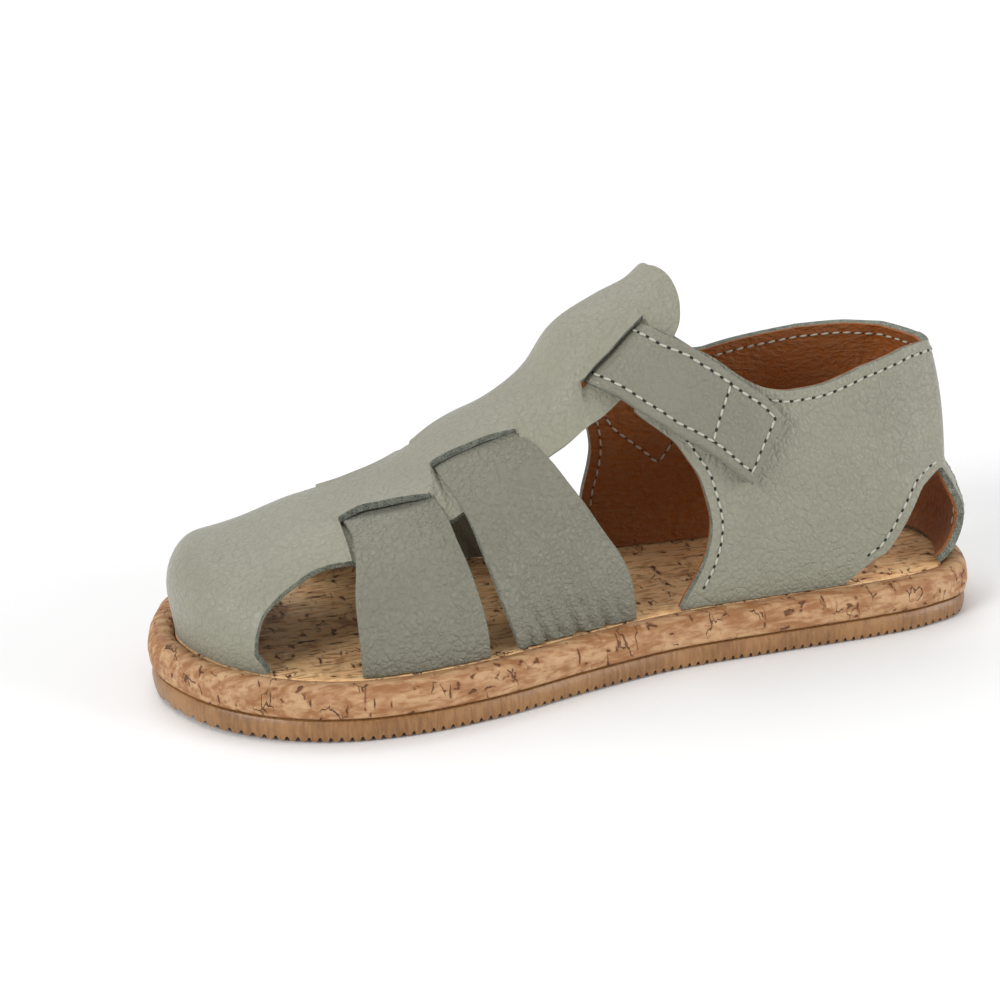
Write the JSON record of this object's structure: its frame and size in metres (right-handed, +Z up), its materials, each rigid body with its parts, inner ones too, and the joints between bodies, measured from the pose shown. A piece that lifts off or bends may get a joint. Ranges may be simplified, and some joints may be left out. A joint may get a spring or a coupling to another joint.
{
  "type": "barefoot sandal",
  "caption": "Flat child's sandal for the left foot: closed toe, woven instep straps, tongue held by an ankle strap, cut-out heel, cork platform and ribbed rubber sole.",
  "frame": {"origin": "on the underside of the sole, in the middle of its length, on the land of a rib", "axes": "+Z up, -Y towards the toe, +Y towards the heel, +X towards the outer side of the foot"},
  "size_m": [0.0777, 0.191, 0.0842],
  "materials": {
    "outsole": "semi-matte gum rubber",
    "cork_platform": "cork sheet with dark flecks, lightly sealed",
    "cork_insole": "matt cork sheet with dark flecks",
    "upper": "sage grey leather, softly grained",
    "quarter": "sage grey leather outside, brown lining inside",
    "ankle_strap": "sage grey leather, stitched"
  },
  "bodies": {
    "root": {"outsole": "outsole", "cork_platform": "cork_platform", "cork_insole": "cork_insole", "upper": "upper", "quarter": "quarter", "ankle_strap": "ankle_strap"}
  },
  "joints": []
}
